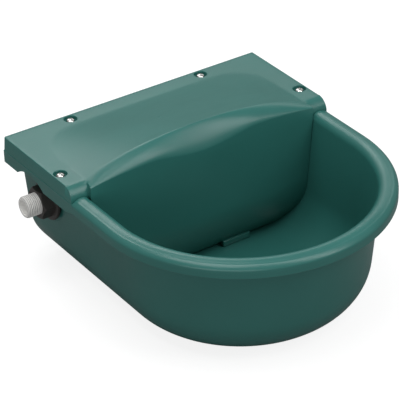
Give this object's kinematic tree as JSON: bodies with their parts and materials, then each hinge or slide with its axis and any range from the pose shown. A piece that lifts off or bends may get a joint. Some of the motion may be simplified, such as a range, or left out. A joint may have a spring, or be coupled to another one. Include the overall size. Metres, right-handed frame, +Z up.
{
  "type": "float drinking bowl",
  "caption": "D-shaped moulded livestock drinking bowl with rolled rim, screwed-down domed valve cover with apron, side threaded inlet and float valve inside.",
  "frame": {"origin": "on the flat underside of the bowl, on the upright axis of its half-round front", "axes": "+Z up, +Y towards the wall behind the bowl, +X to the right of someone facing the wall"},
  "size_m": [0.2918, 0.3195, 0.147],
  "materials": {
    "green_plastic": "smooth moulded plastic with a soft shine",
    "bright_steel": "bright turned steel",
    "white_plastic": "satin moulded plastic",
    "black_plastic": "satin moulded plastic",
    "black_rubber": "matt rubber",
    "grey_plastic": "satin moulded plastic",
    "float_white": "fine-grained foamed plastic",
    "brass": "turned brass"
  },
  "bodies": {
    "base": {"bowl_body": "green_plastic", "cover": "green_plastic", "cover_screw_rear_left": "bright_steel", "cover_screw_rear_right": "bright_steel", "cover_screw_front_left": "bright_steel", "cover_screw_front_right": "bright_steel", "valve_body": "white_plastic", "inlet_lock_nut": "black_plastic", "outer_gasket": "black_rubber", "inner_gasket": "black_rubber", "inlet_strainer": "white_plastic", "nozzle_seat": "brass", "pivot_pin": "bright_steel", "pin_clip": "bright_steel", "blanking_plug": "black_plastic", "blanking_gasket": "black_rubber", "blanking_nut": "black_plastic"},
    "float_lever": {"float_arm": "grey_plastic", "adjusting_screw": "brass", "adjusting_lock_nut": "brass", "float": "float_white", "float_nut": "brass"},
    "plunger": {"valve_plunger": "white_plastic", "plunger_seal": "black_rubber"},
    "drain": {"drain_plug": "black_rubber"}
  },
  "joints": [
    {"name": "float_hinge", "type": "hinge", "parent": "base", "child": "float_lever", "pos_m": [-0.07433, 0.131, 0.067], "axis": [0, -1, 0], "range_deg": [0, 20]},
    {"name": "plunger_slide", "type": "slide", "parent": "base", "child": "plunger", "axis": [-1, 0, 0], "range_m": [0, 0.0042]},
    {"name": "drain_pull", "type": "slide", "parent": "base", "child": "drain", "axis": [0, 0, 1], "range_m": [0, 0.012]}
  ],
  "couplings": [
    {"joint": "plunger_slide", "follows": "float_hinge", "m_per_rad": 0.012032}
  ]
}
